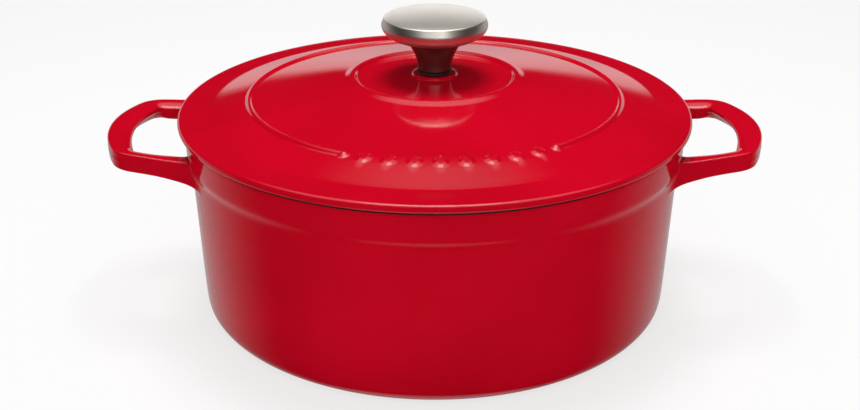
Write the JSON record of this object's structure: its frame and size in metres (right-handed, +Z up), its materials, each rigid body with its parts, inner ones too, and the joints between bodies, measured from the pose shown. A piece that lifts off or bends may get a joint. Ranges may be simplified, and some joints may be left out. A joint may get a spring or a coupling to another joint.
{
  "type": "dutch oven",
  "caption": "Round enamelled cast iron dutch oven with loop handles and a domed lift-off lid with a steel knob.",
  "frame": {"origin": "centre of the pot's flat foot, on the surface it stands on", "axes": "+Z up along the axis of pot and lid; +X and -X out through the two loop handles; -Y is the front, where the lid's outer ring is open"},
  "size_m": [0.3556, 0.276, 0.162],
  "materials": {
    "pot_enamel": "glossy red vitreous enamel over cast iron",
    "lid_enamel": "glossy red vitreous enamel over cast iron",
    "satin_steel": "satin turned stainless steel",
    "gasket_rubber": "dark matt heatproof ring",
    "washer_steel": "plain stainless steel",
    "screw_steel": "plain stainless steel"
  },
  "bodies": {
    "pot": {"pot": "pot_enamel"},
    "lid": {"lid": "lid_enamel", "knob": "satin_steel", "knob_gasket": "gasket_rubber", "screw_washer": "washer_steel", "knob_screw": "screw_steel"}
  },
  "joints": [
    {"name": "lid_lift", "type": "slide", "parent": "pot", "child": "lid", "axis": [0, 0, 1], "range_m": [0, 0.15]}
  ]
}
